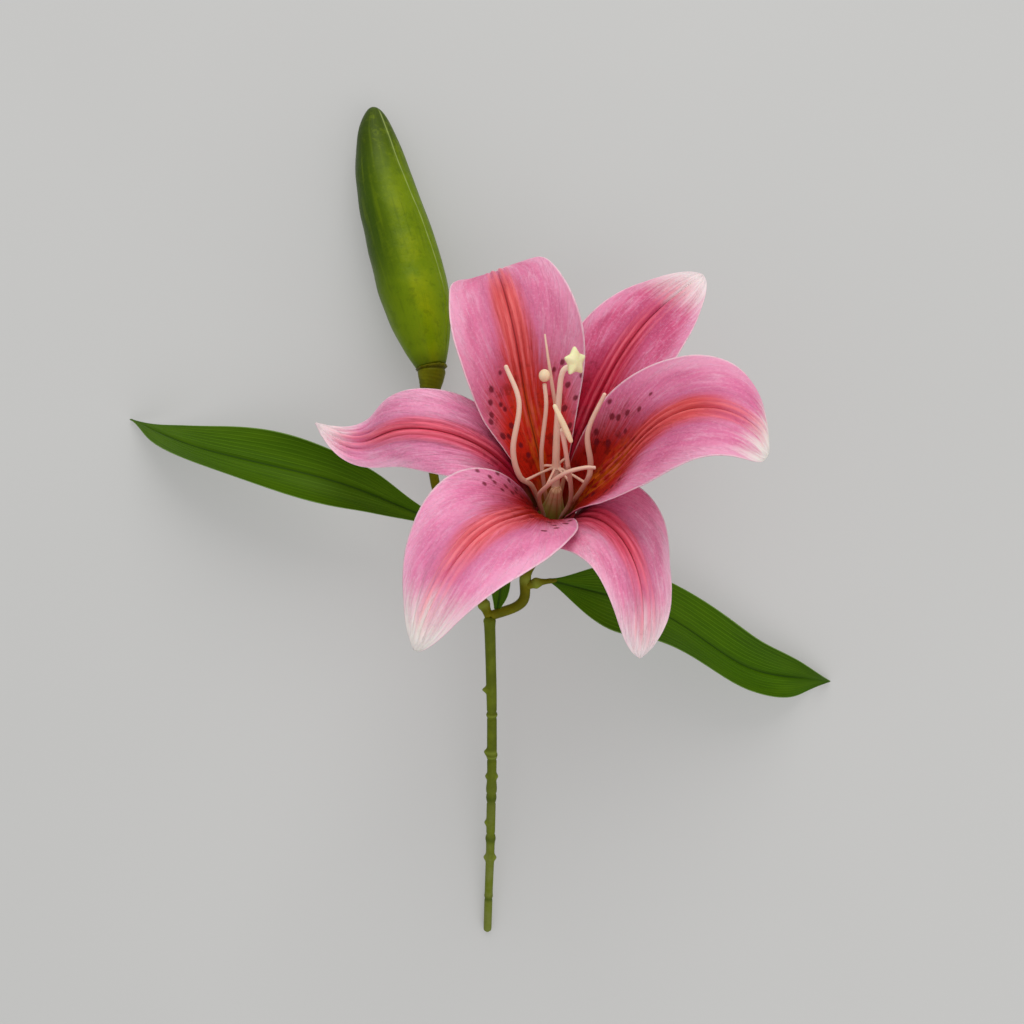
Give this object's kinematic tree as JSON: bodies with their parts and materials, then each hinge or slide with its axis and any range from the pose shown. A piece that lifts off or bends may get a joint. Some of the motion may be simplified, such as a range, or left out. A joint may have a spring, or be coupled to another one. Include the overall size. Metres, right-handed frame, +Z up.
{
  "type": "cut lily",
  "caption": "Cut lily stem lying on a surface, with an open pink bloom, a closed green bud and long leaves, for a bouquet or a table display.",
  "frame": {"origin": "bottom centre of the bounding box of the lily as it lies on a table", "axes": "+Y runs along the stem from the cut end to the tip of the bud, +Z up from the table, +X to the right seen from above"},
  "size_m": [0.3142, 0.3654, 0.1441],
  "materials": {
    "petal": "pink printed with coral bands, crimson throat and dark spots, pale tips",
    "leaf": "deep green with light parallel veins and a pale rim",
    "stamen": "soft beige-pink",
    "anther": "cream",
    "stigma": "pale yellow-green",
    "ovary": "yellow-green",
    "stem": "olive green",
    "bud": "glossy green shading to yellow-green"
  },
  "bodies": {
    "root": {"anther_club": "anther", "anther_knob": "anther", "bloom_stalk": "stem", "bud": "bud", "bud_cup": "stem", "bud_stalk": "stem", "filament_1": "stamen", "filament_2": "stamen", "filament_3": "stamen", "filament_4": "stamen", "filament_5": "stamen", "filament_6": "stamen", "leaf_back": "leaf", "leaf_left": "leaf", "leaf_right": "leaf", "leaf_stalk_left": "stem", "leaf_stalk_right": "stem", "main_stem": "stem", "ovary": "ovary", "petal_lower_left": "petal", "petal_right": "petal", "petal_top": "petal", "receptacle": "stem", "sepal_left": "petal", "sepal_lower_right": "petal", "sepal_upper_right": "petal", "stamen_web": "stamen", "stigma": "stigma", "style": "stamen"}
  },
  "joints": []
}
